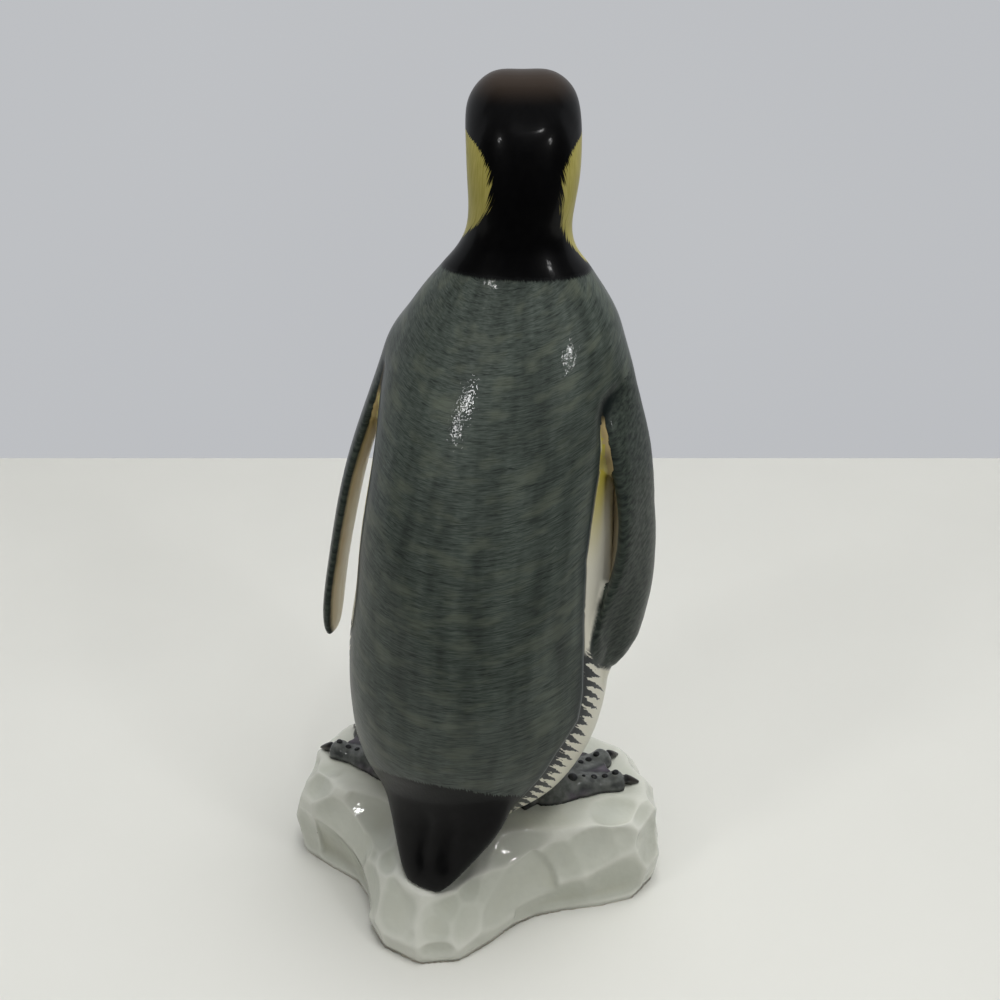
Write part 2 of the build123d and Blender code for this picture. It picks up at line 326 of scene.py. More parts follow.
# Each scoop is a ball that dips into the skin: what lies inside it moves out to its surface
scoop_reach = 0.7
ice_solid = solid("ice_base")
scooped = ice_points.copy()
for turn, reach, rise, width, depth in ice_scoops + ice_nicks:
    way = Vector((math.cos(2 * math.pi * turn), math.sin(2 * math.pi * turn), 0))
    outside = Vector((*ice_middle, rise)) + way * reach
    spot, facing, _, _ = ice_solid.find_nearest(outside * mm)
    ball = (width * width / 4 + depth * depth) / (2 * depth) * mm
    hub = np.array(spot + facing * (ball - depth * mm))
    from_hub = scooped - hub
    gap = np.linalg.norm(from_hub, axis=1)
    near = np.linalg.norm(scooped - np.array(spot), axis=1) < scoop_reach * width * mm
    cut = near & (gap < ball) & ((from_hub * ice_side).sum(axis=1) < 0)
    scooped[cut] += (from_hub * (ball / gap - 1)[:, None])[cut]
ice_points = ice_points + (scooped - ice_points) * ice_outer[:, None]

# The foot curls in to its rim, and the ridges are softened where nothing stands on them
foot_curl = np.clip(1 - ice_points[:, 2] / ice_foot_height, 0, 1) ** 2 * ease(ice_outward, 0.3, 0.7)
ice_points[:, :2] -= from_middle * (foot_curl * ice_foot_round)[:, None]
ice_free = ease(ice_points[:, 2], 0.3 * mm, 1.5 * mm) * ease(rider_gap, 0.5, 4)
ice_points = soften(ice_points, ice_links, ice_free, 2, shrink=True)
ice_points[:, 2] = np.clip(ice_points[:, 2], ice_low.z, ice_high.z)
ice_fields = {"hollow": hollowness(ice_points, ice_quads, 40)}
finished_piece("ice_block", ice_points, ice_quads.tolist(), ice_fields, "ice_base", ice_glaze)


# BODY, HEAD, TAIL AND FLIPPERS
# Body and head are hollow castings of the same porcelain, tail and flippers are solid. They are luted
# together with slip while leather hard. The seams are sponged away before firing, so one smooth skin
# runs over them, but the flippers keep a deep crease at the armpit.
body_grain = 0.75 * mm
cast_nodes = ("torso", "head", "tail", "right_flipper", "left_flipper")
seam_fill_reach = {"head": 0.0, "tail": 7.0, "right_flipper": 8.0, "left_flipper": 8.0}
seam_reach = 6.0
armpit_height = 160.0
nape_height = 226.0
nape_fullness = 2.2
nape_spread = 8.0
collar_height = 187.0
collar_sink = 1.3
collar_spread = 9.0
crease_width = 1.1
crease_depth = 1.0
opening_depth = 0.7
inner_lean = 5.0
triangle_limit = 190000
seam_held = 2.5
blade_outward = np.array((-0.94, -0.342))
blade_forward = np.array((0.342, -0.94))
blade_levels = (81, 85, 89, 93, 97, 101, 106, 112, 118, 126, 138, 150, 158)
outer_pushes = (0.0, 2.4, 3.5, 3.4, 3.1, 2.8, 2.2, 1.4, 0.8, 0.0, 0.0, 0.0, 0.0)
inner_pushes = (1.2, 1.2, 1.7, 1.9, 1.6, 0.9, 0.0, -1.2, -1.5, -1.5, -1.1, -0.8, 0.0)
half_blade_levels = (82, 86, 92, 105)
half_blades = (1.0, 3.0, 4.5, 5.5)
line_step = 4.0


def fade(values, full, none):
    """Smooth fall from 1 at full to 0 at none."""
    return ease(-values, -none, -full)


def up(points):
    """Height in mm."""
    return points[:, 2] / mm


def middle_line(node):
    """Levels up a CAD node in mm, and the middle of its outline at each of them."""
    corners = np.array([vertex.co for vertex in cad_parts[node].data.vertices]) / mm
    levels = np.arange(corners[:, 2].min() + line_step, corners[:, 2].max(), line_step)
    middles = []
    for level in levels:
        band = corners[np.abs(corners[:, 2] - level) < line_step]
        middles.append((band.min(axis=0) + band.max(axis=0)) / 2)
    return levels, np.array(middles)


def beside_line(points, line):
    """Where points lie beside a middle line, as x and y, all in mm."""
    return [points[:, axis] - np.interp(points[:, 2], line[0], line[1][:, axis]) for axis in (0, 1)]


body_line = middle_line("torso")


def about_body(points):
    """Turn in degrees from straight back, positive to its right, and distance from the body's middle."""
    x, y = beside_line(points, body_line)
    return np.degrees(np.arctan2(-x, y)), np.hypot(x, y)


# Only the outermost shell of the joined castings is kept
skin, quads = fine_skin(cast_nodes, body_grain)
links = quad_links(quads)
shell = np.arange(len(skin))
while True:
    joined = shell.copy()
    np.minimum.at(joined, links[:, 0], shell[links[:, 1]])
    np.minimum.at(joined, links[:, 1], shell[links[:, 0]])
    joined = joined[joined]
    if (joined == shell).all():
        break
    shell = joined
outside = shell == shell[np.argmax(skin[:, 2])]
fresh = np.cumsum(outside) - 1
quads = fresh[quads[outside[quads].all(axis=1)]]
skin = skin[outside]
links = quad_links(quads)

# Slip fills the seams and the sponge softens them, but the armpits stay open from behind
gaps = np.stack([node_gap(skin, name) for name in cast_nodes], axis=1)
behind_flipper = fade(np.abs(about_body(skin / mm)[0]), 74, 88)
seam = np.full(len(skin), 1000.0)
armpit = np.full(len(skin), 1000.0)
fill = np.zeros(len(skin))
for column, name in enumerate(cast_nodes[1:], start=1):
    apart = np.maximum(gaps[:, 0], gaps[:, column])
    if name.endswith("flipper"):
        armpit = np.minimum(armpit, apart)
        apart = apart + 30 * fade(up(skin), armpit_height - 8, armpit_height + 5) * behind_flipper
    seam = np.minimum(seam, apart)
    reach = seam_fill_reach[name]
    if reach:
        fill = np.maximum(fill, np.clip(1 - apart / reach, 0, 1) ** 2 * reach / 5)
skin = pushed(skin, quads, fill)
skin = soften(skin, links, 1.0, 4)
skin = soften(skin, links, fade(seam, 1, seam_reach), 16, shrink=True)
shoulder = fade(armpit, 5, 15) * ease(up(skin), 140, 158)
shoulder *= 1 - behind_flipper * fade(up(skin), 148, 154)
skin = soften(skin, links, shoulder, 70, shrink=True)

# The back of the head is full above the nape, and the back rounds over to the collar.
head_axis = np.array((-10.0, -11.6))
head_ahead = np.array((0.3746, -0.9272))
behind_axis = -(skin[:, :2] / mm - head_axis) @ head_ahead
from_axis = np.linalg.norm(skin[:, :2] / mm - head_axis, axis=1)
rearward = ease(behind_axis / from_axis, 0.2, 0.9) * ease(from_axis, 2, 14)
fullness = nape_fullness * np.exp(-((up(skin) - nape_height) / nape_spread) ** 2) * rearward
collar = np.exp(-((up(skin) - collar_height) / collar_spread) ** 2)
fullness -= collar_sink * collar * fade(np.abs(about_body(skin / mm)[0]), 20, 80)
skin[:, :2] -= head_ahead * (fullness * mm)[:, None]

# The armpit is cut in with a needle: a thin line at its top, and open below. The right flipper has a
# blunt tip, and its leading half leans in to the body, so no light comes through behind it.
crease_line = np.exp(-(armpit / crease_width) ** 2) * behind_flipper * fade(up(skin), 157, 162)
crease_line *= ease(up(skin), 139, 142)
deep = crease_depth + opening_depth * fade(up(skin), 152, 156)
skin = pushed(skin, quads, -crease_line * deep)
creased = fade(armpit, 2, 4) * ease(up(skin), 136, 140) * fade(up(skin), 156, 162)
skin = soften(skin, links, creased, 12, shrink=True)
level = up(skin)
from_line = np.stack(beside_line(skin / mm, middle_line("right_flipper")), axis=1)
outward = from_line @ blade_outward
on_blade = np.maximum(ease(armpit, 0.5, 4), fade(level, 104, 112) * ease(outward, -0.5, 1))
on_blade *= np.argmin(gaps, axis=1) == cast_nodes.index("right_flipper")
forward = from_line @ blade_forward
half_blade = np.interp(level, half_blade_levels, half_blades)
push = np.interp(level, blade_levels, outer_pushes) * ease(outward / half_blade, -0.5, 0.9)
inner_push = np.interp(level, blade_levels, inner_pushes) * fade(outward / half_blade, -0.9, 0.5)
push -= inner_push * fade(forward, -2, 6)
lean = inner_lean * fade(outward, -1.5, 1.5) * ease(forward, -3, 3)
lean = lean * ease(level, 90, 104) * fade(level, 144, 152)
skin[:, :2] += blade_outward * (push * on_blade * mm)[:, None]
skin[:, 0] += np.minimum(lean * on_blade, np.maximum(gaps[:, 0] - 0.2, 0)) * mm
skin = soften(skin, links, fade(level, 150, 156) * on_blade, 8)


def cut_out(label_wanted, points, quads, label):
    """One casting, closed over each seam by a fan: its points, its faces, its old point numbers."""
    own = quads[label == label_wanted]
    kept, flat = np.unique(own, return_inverse=True)
    own = flat.reshape(-1, 4)
    sides = quad_sides(own)
    _, first, times = np.unique(np.sort(sides, axis=1), axis=0, return_index=True, return_counts=True)
    follows = {}
    for start, end in sides[first[times == 1]]:
        follows.setdefault(int(end), []).append(int(start))
    faces = own.tolist()
    middles = []
    while follows:
        start = next(iter(follows))
        loop = [start]
        while loop[-1] in follows:
            after = follows[loop[-1]].pop()
            if not follows[loop[-1]]:
                del follows[loop[-1]]
            if after == start:
                break
            loop.append(after)
        middle = len(kept) + len(middles)
        middles.append(points[kept[loop]].mean(axis=0))
        faces += [[corner, after, middle] for corner, after in zip(loop, loop[1:] + loop[:1])]
    return np.vstack([points[kept]] + middles), faces, kept


def thinned(points, faces, fields, free):
    """Collapses the flattest edges between the free points, down to the triangle limit."""
    holder = new_object("thick", field_mesh("thick", points, faces, fields))
    holder.vertex_groups.new(name="free").add(free, 1.0, "REPLACE")
    modifier = holder.modifiers.new("thinned", "DECIMATE")
    modifier.vertex_group = "free"
    modifier.ratio = triangle_limit / sum(len(face) - 2 for face in faces)
    thin = shaped(holder)
    columns = {"position": np.zeros((len(thin.vertices), 3))}
    for field, values in fields.items():
        columns[field] = np.zeros((len(thin.vertices),) + values.shape[1:])
    for field, values in columns.items():
        kind = "vector" if values.ndim == 2 else "value"
        thin.attributes[field].data.foreach_get(kind, values.ravel())
    faces = [tuple(face.vertices) for face in thin.polygons]
    bpy.data.meshes.remove(thin)
    return columns.pop("position"), faces, columns


def cast_piece(name, node, fields, material):
    """One casting of the joined skin, with the fields that its underglaze paint follows."""
    points, faces, kept = cut_out(cast_nodes.index(node), skin, quads, label)
    caps = len(points) - len(kept)
    own = {"facing": np.concatenate([skin_normals[kept], np.tile([0.0, 0.0, 1.0], (caps, 1))])}
    for field, values in fields.items():
        own[field] = np.concatenate([values[kept], np.zeros((caps,) + values.shape[1:])])
    if 2 * len(faces) > triangle_limit:
        points, faces, own = thinned(points, faces, own, np.flatnonzero(seam[kept] > seam_held).tolist())
    normals = own.pop("facing")
    normals /= np.linalg.norm(normals, axis=1, keepdims=True)
    return finished_piece(name, points, faces, own, node, material, normals)


# The modelled edges: the grey of the back stands a little proud of the white flanks, and the tail has
# two shallow flutes down its back.
border_levels = (40, 47, 54, 60, 65, 70, 73, 80, 96, 118, 134, 150, 160, 166, 175, 187)
right_border_turns = (44, 45, 50, 54, 57, 62.5, 66.6, 68, 68, 67, 72, 77, 92, 125, 150, 160)
left_border_turns = (44, 46, 50, 53, 55, 57, 58, 58, 56.5, 58, 61, 66, 82, 125, 150, 160)
border_step = 0.3
flutes = ((0.5, 8.0, 0.5), (-7.5, 6.0, 0.45))
flute_half_width = 2.2
tail_turn = math.radians(12.5)
tail_root = (-4.4, 25.5)
tail_top = 58
opened_levels = (136, 140, 146, 153, 155)
opened_widths = (0.0, 2.2, 1.4, 0.3, -2.0)


def inside_border(points):
    """Distance in mm inside the edge of the grey, negative on the white."""
    turn, reach = about_body(points)
    right = np.interp(points[:, 2], border_levels, right_border_turns)
    left = np.interp(points[:, 2], border_levels, left_border_turns)
    return np.radians(np.where(turn > 0, right, left) - np.abs(turn)) * reach


on_torso = fade(gaps[:, 0] - gaps[:, 1:].min(axis=1), -0.4, 0.4)
lift = border_step * (ease(inside_border(skin / mm), -0.4, 0.9) - 1) * on_torso
lift *= ease(up(skin), 42, 50) * fade(up(skin), 140, 150)
from_root = skin[:, :2] / mm - np.array(tail_root)
tail_across = from_root[:, 0] * math.cos(tail_turn) - from_root[:, 1] * math.sin(tail_turn)
tail_down = tail_top - up(skin)
on_tail = ease(gaps[:, 0] - gaps[:, 2], 0, 6)
for across, start, depth in flutes:
    groove = np.exp(-((tail_across - across) / flute_half_width) ** 2)
    lift -= depth * groove * on_tail * ease(tail_down, start, start + 8) * fade(tail_down, 26, 34)
skin = pushed(skin, quads, lift)

# Each quad belongs to the casting that it lies nearest to
quad_gaps = [gaps[quads, column].mean(axis=1) for column in range(len(cast_nodes))]
label = np.argmin(np.stack(quad_gaps, axis=1), axis=1)
skin_mm = skin / mm
skin_normals = point_normals(skin, quads)
turn = about_body(skin_mm)[0]
height = skin_mm[:, 2]

# Painted shade: dark in the crease, and lighter where the armpit opens below it
armpit_shade = fade(armpit, 0.5, 1.6) * ease(height, 150, 154)
armpit_shade = armpit_shade * fade(height, 157, 162) * behind_flipper * 0.95
opened = ease(np.interp(height, opened_levels, opened_widths) - armpit, -0.5, 0.5) * behind_flipper
armpit_shade = np.maximum(armpit_shade, opened * 0.28)
# Beside the right flipper's tip the flank is painted slate: it carries the flipper's edge onto the flank,
# and is painted shade where the tip meets it
tip_edge_and_shade = ease(1.7 - gaps[:, 3], 0, 0.9) * fade(height, 104, 112)
back_field = inside_border(skin_mm) - 6 * opened
zeros = np.zeros_like(height)


def strokes(tree, length, width, slant=0.0, field="brush"):
    """Brush hairs of that length and width in mm along a field of the piece, as values round 0.5."""
    along = add(tree, "ShaderNodeAttribute", out="Vector", attribute_name=field)
    turned = add(tree, "ShaderNodeMapping", {"Vector": along, "Rotation": (0, 0, slant)})
    scaled = add(tree, "ShaderNodeMapping", {"Vector": turned, "Scale": (1 / length, 1 / width, 1)})
    return add(tree, "ShaderNodeTexNoise", {"Vector": scaled, "Scale": 1.0, "Roughness": 0.6})


def ragged(tree, name, hairs, reach, soft):
    """Share inside a painted border whose edge is broken up by brush hairs, reach and soft in mm."""
    value = add(tree, "ShaderNodeAttribute", out="Fac", attribute_name=name)
    moved = add(tree, "ShaderNodeMath", {0: hairs, 1: 2.4 * reach, 2: value}, operation="MULTIPLY_ADD")
    return add(tree, "ShaderNodeMapRange", {0: moved, 1: 1.2 * reach - soft, 2: 1.2 * reach + soft})


def glazed(tree, place, colour, sheen, coat, blur, ripple_height):
    """Clear gloss glaze over underglaze paint: a soft sheen from the paint, and a gloss that ripples."""
    upright = add(tree, "ShaderNodeMapping", {"Vector": place, "Scale": (1400, 1400, 650)})
    ripple = add(tree, "ShaderNodeTexNoise", {"Vector": upright, "Scale": 1.0, "Detail": 1.0})
    relief = add(tree, "ShaderNodeBump", {"Height": ripple, "Distance": ripple_height * mm})
    gloss = add(tree, "ShaderNodeBsdfPrincipled", {
        "Base Color": colour, "Roughness": sheen, "IOR": 1.45, "Specular IOR Level": 0.08,
        "Coat Weight": coat, "Coat Roughness": blur, "Coat IOR": 1.45,
        "Normal": relief, "Coat Normal": relief,
    })
    add(tree, "ShaderNodeOutputMaterial", {"Surface": gloss})


# Slate underglaze brushed on porcelain in short strokes across the back, darker where strokes overlap,
# up to a dark line at each side, with a pale painted highlight right on the raised edge. Beyond it the
# flank is white, with slanting black hairs low down and yellow under the flippers. Black on the rump
# and collar. All of it lies under clear gloss glaze.
rump_height, rump_arch = 56.5, 0.0032
hood_height, hood_rise = 186.2, 8
brush_radius, brush_sag = 40, 0.0035
rump_field = rump_height - rump_arch * (turn - 2) ** 2 - height
hood_field = height - hood_height - hood_rise * ease(np.abs(turn), 105, 130)
around = np.radians(turn) * brush_radius
brush_field = np.stack([around, height - brush_sag * around ** 2, zeros], axis=1)
outwards = np.radians(np.abs(turn)) * brush_radius
lash_field = np.stack([outwards, height, zeros], axis=1)
front = ease(np.abs(turn), 100, 140)
yellow_field = ease(height, 112, 140) * fade(back_field, -1, 0) * ease(back_field, -10, -4) * (1 - front)
yellow_field = np.maximum(yellow_field, front * ease(height, 128, 178) * ease(np.abs(turn), 90, 130))

lash_slant = math.radians(36)
lash_spacing = 2.6
lash_reaches = (15.0, 25.0)
hair_slant = 0.62
slate_paint, tree, place = new_paint("slate_underglaze_brushed_on_porcelain")
short = strokes(tree, 10, 0.8)
fine = strokes(tree, 4, 0.3)
bands = strokes(tree, 8, 34)
patches = strokes(tree, 14, 5)
back = add(tree, "ShaderNodeAttribute", out="Fac", attribute_name="back")
share = add(tree, "ShaderNodeMapRange", {0: short, 1: 0.3, 2: 0.7, 3: 0.15, 4: 0.85})
black_hairs = strokes(tree, 0.5, 5, slant=-0.35)
slate = wash(
    tree, "1D2321", ("535C55", share), ("666E67", fine, 0.38, 0.7, 0.6),
    ("1A1F1D", bands, 0.38, 0.66, 0.45), ("656B5D", patches, 0.5, 0.7, 0.5),
    # The pale blue grey line right on the edge of the grey is a painted highlight on the raised border
    ("20282A", back, 3.6, 0.6, 0.75), ("6E7678", back, 0.7, 0.25, 0.6),
    ("030405", ragged(tree, "rump", black_hairs, 1.6, 0.35)),
)

# The lashes stand side by side along the border, each of its own length, with finer hairs between
across = add(tree, "ShaderNodeAttribute", out="Fac", attribute_name="lash_across")
wobble = add(tree, "ShaderNodeMath", {0: strokes(tree, 9, 4), 1: 1.6, 2: across}, operation="MULTIPLY_ADD")
counted = add(tree, "ShaderNodeMath", {0: wobble, 1: lash_spacing}, operation="DIVIDE")
number = add(tree, "ShaderNodeMath", {0: counted}, operation="FLOOR")
picked = add(tree, "ShaderNodeTexWhiteNoise", {"W": number}, noise_dimensions="1D")
off_border = add(tree, "ShaderNodeMath", {0: counted, 1: 0.5}, operation="PINGPONG")
reached = add(tree, "ShaderNodeMapRange", {0: picked, 3: lash_reaches[0], 4: lash_reaches[1]})
run = add(tree, "ShaderNodeMath", {0: back, 1: reached}, operation="DIVIDE")
half_width = add(tree, "ShaderNodeMapRange", {
    0: run, 1: 0.0, 2: -1.0, 3: 0.36, 4: -0.12,
}, interpolation_type="SMOOTHSTEP")
hairs = strokes(tree, 5, 0.35, slant=hair_slant, field="lash")
half_width = add(tree, "ShaderNodeMath", {0: hairs, 1: 0.16, 2: half_width}, operation="MULTIPLY_ADD")
lash_edge = add(tree, "ShaderNodeMath", {0: half_width, 1: off_border}, operation="ADD")
lash_edge = add(tree, "ShaderNodeMapRange", {0: lash_edge, 1: 0.58, 2: 0.63})
fringe_bias = add(tree, "ShaderNodeMapRange", {0: back, 1: -0.5, 2: -12.0, 3: 0.1, 4: -0.46})
fringe = strokes(tree, 6, 0.7, slant=hair_slant, field="lash")
fringe = add(tree, "ShaderNodeMath", {0: fringe, 1: fringe_bias}, operation="ADD")
fringe = add(tree, "ShaderNodeMapRange", {0: fringe, 1: 0.5, 2: 0.56})
lash_edge = add(tree, "ShaderNodeMath", {0: lash_edge, 1: fringe}, operation="MAXIMUM")
low = add(tree, "ShaderNodeAttribute", out="Fac", attribute_name="low")
lash = add(tree, "ShaderNodeMath", {0: lash_edge, 1: low}, operation="MULTIPLY")
painted = wash(
    tree, "DEDBCB", ("C4B64A", "yellow"), ("23272A", lash), ("1B2022", back, -0.9, -0.35, 0.85),
    (slate, ragged(tree, "back", strokes(tree, 0.5, 4, slant=0.5), 0.12, 0.12)),
    ("0B0C0D", ragged(tree, "hood", black_hairs, 0.7, 0.3)),
    # Painted shade darkens the armpit crease
    ("141A1A", "armpit"), ("363C39", "tip_edge_and_shade"),
)
glazed(tree, place, painted, 0.38, 0.27, 0.05, 0.04)

yellow_field = np.maximum(yellow_field, opened * 0.9)
cast_piece("glazed_torso", "torso", {
    "back": back_field, "rump": rump_field, "hood": hood_field, "brush": brush_field, "lash": lash_field,
    "yellow": yellow_field, "tip_edge_and_shade": tip_edge_and_shade, "low": fade(height, 91, 93), "armpit": armpit_shade,
    "lash_across": outwards * math.sin(lash_slant) + height * math.cos(lash_slant),
}, slate_paint)


# The head is painted black, with a pale yellow patch on each side of the neck that the black hairs run
# into, and a brown painted sheen over its crown. Its glaze is smooth: deep black, with small soft
# highlights.
head_turn = 22.0
head_start, head_turned = 187, 206
head_shift = 2.2
patch_top, head_radius = 221.5, 16
neck_point = middle_line("head")[1][1]
turned = ease(height, head_start, head_turned)
aside = math.radians(head_turn) * turned
head_x = skin_mm[:, 0] - neck_point[0] + head_shift * turned
head_y = skin_mm[:, 1] - neck_point[1]
head_back = head_y * np.cos(aside) - head_x * np.sin(aside)
head_left = head_x * np.cos(aside) + head_y * np.sin(aside)
head_round = np.degrees(np.arctan2(np.abs(head_left), head_back))
head_reach = np.hypot(head_back, head_left)
patch_levels = (180, 187, 190, 193.7, 196, 199, 203, 208, 213, 216, 218, 219.5, 221, 222)
patch_back = (118, 108, 98, 81, 68, 56, 46, 44, 48, 58, 70, 85, 104, 125)
patch_front_levels = (190, 197, 200, 204, 210, 216, 222)
patch_front = (260, 190, 150, 135, 130, 128, 125)
behind = np.radians(head_round - np.interp(height, patch_levels, patch_back)) * head_reach
before = np.radians(np.interp(height, patch_front_levels, patch_front) - head_round) * head_reach
patch_field = np.minimum(np.minimum(behind, before), patch_top - height)
head_brush = np.stack([np.radians(head_round) * head_radius, height, zeros], axis=1)

hood_paint, tree, place = new_paint("black_underglaze_under_gloss_glaze")
down_hairs = strokes(tree, 12, 0.5, slant=1.15)
yellow = wash(tree, "A89E4E", ("C0B668", strokes(tree, 0.6, 6), 0.3, 0.7))
# The brown on the crown is a painted sheen, lighter over the top of the head
painted = wash(
    tree, "030304", ("070708", strokes(tree, 3, 3), 0.3, 0.7), ("3A3028", "crown_sheen"),
    (yellow, ragged(tree, "patch", down_hairs, 2.6, 0.3)),
)
glazed(tree, place, painted, 0.38, 0.17, 0.11, 0.006)
cast_piece("glazed_head", "head", {
    "patch": patch_field, "brush": head_brush, "crown_sheen": ease(height, 227, 234) * 0.8,
}, hood_paint)

# The tail is a solid wedge in the same black.
cast_piece("glazed_tail", "tail", {
    "patch": np.full(len(skin), -20.0), "brush": brush_field, "crown_sheen": zeros,
}, hood_paint)

# Each flipper is a solid blade. Its outer face is slate, stippled with the brush, and darker towards
# its edges. Its inner face is cream, with tan painted shade towards its trailing edge and higher up,
# and near black painted shade in the armpit crease.
flipper_turn = math.radians(14.0)
outer_reach = {"right_flipper": 1.6, "left_flipper": 0.9}
wrap_levels = (84, 92, 104, 122)
wrap_widths = (6.0, 2.6, 2.0, 0.0)
flipper_paint, tree, place = new_paint("slate_and_cream_underglaze_under_gloss_glaze")
stipple = strokes(tree, 2.2, 0.9, slant=0.5)
slate = wash(tree, "272D2A", ("464D46", stipple, 0.35, 0.68), ("1D2322", "outer", 1.2, 0.2, 0.7))
level = add(tree, "ShaderNodeSeparateXYZ", {0: place}, "Z")
painted = wash(
    # The two tan washes are painted shade on the inner face
    tree, "E2D9C2", ("D2C3A2", strokes(tree, 5, 12), 0.35, 0.7), ("B9A57A", "blade", 6.0, 1.0, 0.6),
    ("B29D66", level, 118 * mm, 150 * mm, 0.8),
    (slate, ragged(tree, "outer", strokes(tree, 0.6, 3), 0.15, 0.35)), ("141A1A", "armpit"),
)
glazed(tree, place, painted, 0.38, 0.25, 0.08, 0.015)
for side, node in ((-1, "right_flipper"), (1, "left_flipper")):
    from_x, from_y = beside_line(skin_mm, middle_line(node))
    outer = side * (from_x * math.cos(flipper_turn) + side * from_y * math.sin(flipper_turn))
    trail = from_y * math.cos(flipper_turn) - side * from_x * math.sin(flipper_turn)
    wrapped = outer + outer_reach[node]
    if side < 0:
        wrapped += np.interp(height, wrap_levels, wrap_widths)
    rooted = height - armpit_height + 13 * fade(trail, -7, -3)
    outer_field = np.maximum(wrapped, rooted * 2) - 6 * opened
    cast_piece("glazed_" + node, node, {
        "outer": outer_field, "blade": 10 - trail, "brush": np.stack([trail, height, zeros], axis=1),
        "armpit": armpit_shade,
    }, flipper_paint)


# BEAK
# The beak is a small solid casting, stuck to the face with slip. A line cut with a needle parts its two
# halves. It is glazed black, with a muted apricot plate along each side of the lower half.
beak_grain = 0.22 * mm
beak_root = (29.1, 221.4)
beak_length = 15.0
beak_droop_levels = (0.0, 0.3, 0.6, 0.85, 1.0)
beak_droops = (0.0, 0.16, 0.9, 2.1, 3.2)
gape_depth = 0.35
beak_hold = 1.2

points, faces = fine_skin(["beak"], beak_grain)
points = soften(points, quad_links(faces), 1.0, 4)
beak_along = (points[:, :2] / mm - head_axis) @ head_ahead - beak_root[0]
droop = np.interp(beak_along / beak_length, beak_droop_levels, beak_droops)
beak_rise = points[:, 2] / mm - beak_root[1] + droop
gape = np.exp(-((beak_rise + 0.5) / 0.28) ** 2) * fade(beak_along, 11, 13)
points = pushed(points, faces, -gape * gape_depth)
points[:, :2] -= head_ahead * (beak_hold * mm * fade(beak_along, 0, 0.7))[:, None]
plate = ease(beak_rise, -2.7, -2.2) * fade(beak_rise, -1.0, -0.7)
plate = plate * ease(beak_along, 1, 2.5) * fade(beak_along, 9, 11)

# Black enamel colours under gloss glaze: wet black, with a soft edged apricot plate, and painted shade that
# makes the gape a little darker
beak_paint, tree, place = new_paint("black_and_apricot_underglaze_on_beak")
hairs = add(tree, "ShaderNodeTexNoise", {"Vector": place, "Scale": 900.0})
apricot = wash(tree, "A66A45", ("C48A5C", hairs, 0.3, 0.7))
# The gape groove is painted darker: painted shade
painted = wash(tree, "0B0B0C", ("17171A", hairs, 0.3, 0.7), (apricot, "plate"), ("050505", "gape"))
glazed(tree, place, painted, 0.3, 0.7, 0.08, 0.005)
finished_piece("glazed_beak", points, faces.tolist(), {
    "plate": plate, "gape": gape,
}, "beak", beak_paint)


# EYES
# Each eye is a small bead of clay pressed into the side of the head inside a thin lid, painted dark
# brown with a black pupil and glazed with the head.
head_leftwards = np.array((0.9272, 0.3746))
eye_ahead, eye_aside, eye_height = 19.0, 14.0, 225.0
eye_profile = (
    (0.30, 0.72), (0.60, 0.66), (0.90, 0.52), (1.15, 0.32), (1.30, 0.10),
    (1.42, 0.14), (1.60, 0.18), (1.78, 0.08), (1.90, -0.20), (1.90, -0.90),
)
eye_steps = 28

# Brown and black underglaze under gloss: a wet dark bead whose pupil and lid are black
eye_paint, tree, place = new_paint("brown_underglaze_eye_under_gloss_glaze")
flecks = add(tree, "ShaderNodeTexNoise", {"Vector": place, "Scale": 2500.0})
painted = wash(
    tree, "2A1810", ("4A2C1A", flecks, 0.35, 0.65), ("040404", "from_pupil", 0.75, 0.62),
    ("0B0C0D", "from_pupil", 1.22, 1.32),
)
glazed(tree, place, painted, 0.15, 1.0, 0.03, 0.002)
for side, name in ((-1, "right_eye"), (1, "left_eye")):
    spot = head_axis + head_ahead * eye_ahead + head_leftwards * side * eye_aside
    gap = np.linalg.norm(skin_mm - np.array((*spot, eye_height)), axis=1)
    seat = int(np.argmin(gap))
    upright = Vector(skin_normals[seat])
    aslant = upright.cross(Vector((0, 0, 1))).normalized()
    upward = aslant.cross(upright)
    middle = Vector(skin[seat])
    rings = [middle + upright * eye_profile[0][1] * mm]
    reach_out = [0.0]
    for radius, rise in eye_profile:
        for step in range(eye_steps):
            around_eye = 2 * math.pi * step / eye_steps
            outward = aslant * math.cos(around_eye) + upward * math.sin(around_eye)
            rings.append(middle + (outward * radius + upright * rise) * mm)
            reach_out.append(radius)
    rings.append(middle + upright * eye_profile[-1][1] * mm)
    reach_out.append(0.0)
    last = len(rings) - 1 - eye_steps
    eye_faces = []
    for step in range(eye_steps):
        after = (step + 1) % eye_steps
        eye_faces.append((0, 1 + step, 1 + after))
        for ring in range(1, last, eye_steps):
            wider = ring + eye_steps
            eye_faces.append((ring + step, wider + step, wider + after, ring + after))
        eye_faces.append((last + step, len(rings) - 1, last + after))
    finished_piece(name, rings, eye_faces, {
        "from_pupil": np.array(reach_out),
    }, None, eye_paint)


# FEET
# Each foot is modelled by hand: three toes with knuckles, claws and a hind toe, joined by thin webs.
# It is stuck to the ice with slip, washed with grey underglaze and outlined in black.
foot_grain = 0.4 * mm
foot_level = 30.0
feet = {
    "right_foot": ((-21.84, 4.09), (-0.4848, -0.8746)),
    "left_foot": ((21.31, 9.41), (0.788, -0.6157)),
}
toe_turns = (-28.0, 0.0, 28.0)
toe_reaches = (26.0, 28.0, 26.0)
toe_half_width = 3.7
knuckle_step = 3.3
web_folds = 9.0
groove_width = 0.7
groove_depth, knuckle_depth, fold_depth, nail_depth = 0.35, 0.13, 0.22, 0.3

